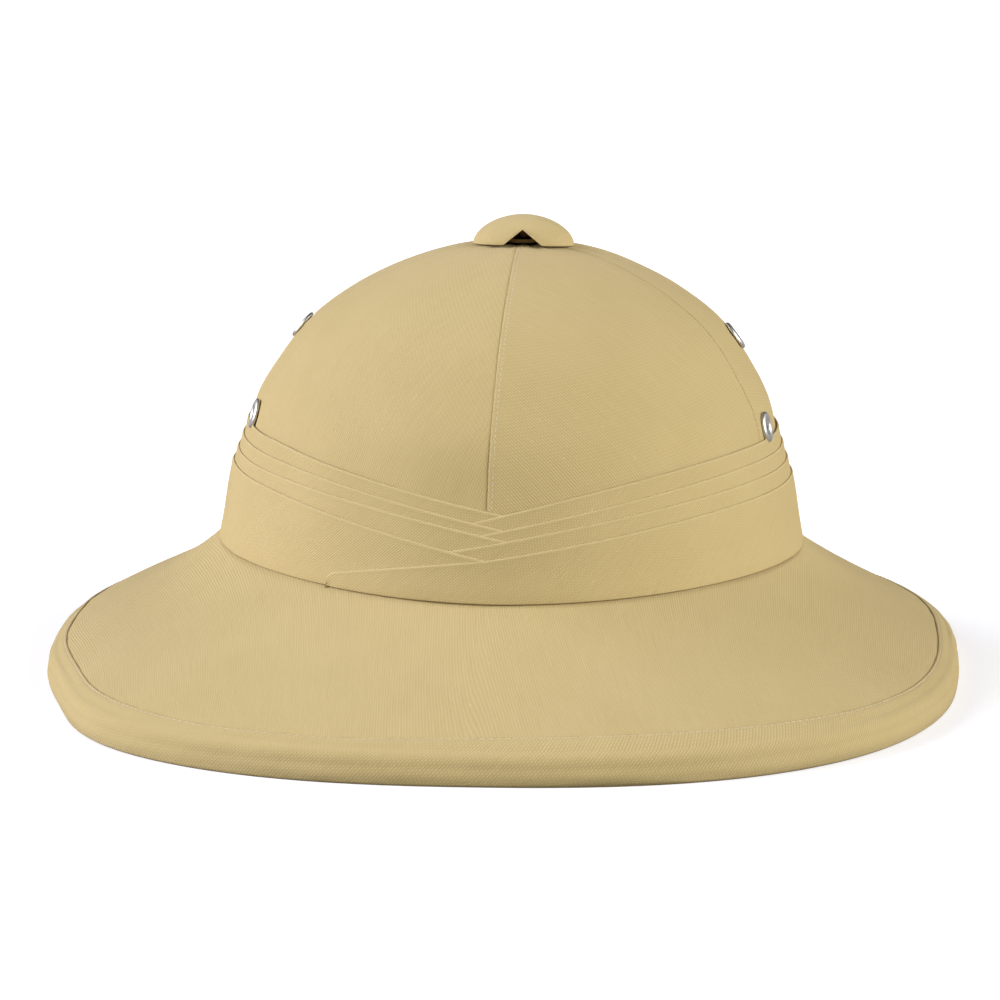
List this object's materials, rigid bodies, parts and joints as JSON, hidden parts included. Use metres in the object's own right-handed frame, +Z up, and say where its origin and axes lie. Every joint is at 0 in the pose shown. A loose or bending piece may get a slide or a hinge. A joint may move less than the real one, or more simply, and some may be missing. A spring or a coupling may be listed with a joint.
{
  "type": "pith helmet",
  "caption": "Khaki cotton pith helmet with a domed crown, a wide sloping bound brim, a folded cloth band lapped at the front, metal side vents and a notched ventilator cap.",
  "frame": {"origin": "on the floor, under the middle of the brim", "axes": "+Z up, -Y towards the front, where the band laps, +X to the side on the right of the picture"},
  "size_m": [0.3169, 0.38, 0.1607],
  "materials": {
    "khaki_cotton": "matte",
    "moulded_pith": "matte",
    "nickel": "satin",
    "brass": "satin"
  },
  "bodies": {
    "root": {"crown_shell_wall": "moulded_pith", "crown_shell_dome": "moulded_pith", "brim_shell": "moulded_pith", "crown_panel_1": "khaki_cotton", "crown_panel_2": "khaki_cotton", "crown_panel_3": "khaki_cotton", "crown_panel_4": "khaki_cotton", "crown_panel_5": "khaki_cotton", "crown_panel_6": "khaki_cotton", "brim_cover": "khaki_cotton", "brim_binding": "khaki_cotton", "pagri_pleat_top": "khaki_cotton", "pagri_pleat_middle": "khaki_cotton", "pagri_pleat_lower": "khaki_cotton", "pagri_wrap": "khaki_cotton", "top_button": "khaki_cotton", "button_post": "brass", "eyelet_right_front": "nickel", "eyelet_right_top": "nickel", "eyelet_right_rear": "nickel", "eyelet_left_front": "nickel", "eyelet_left_top": "nickel", "eyelet_left_rear": "nickel"}
  },
  "joints": []
}
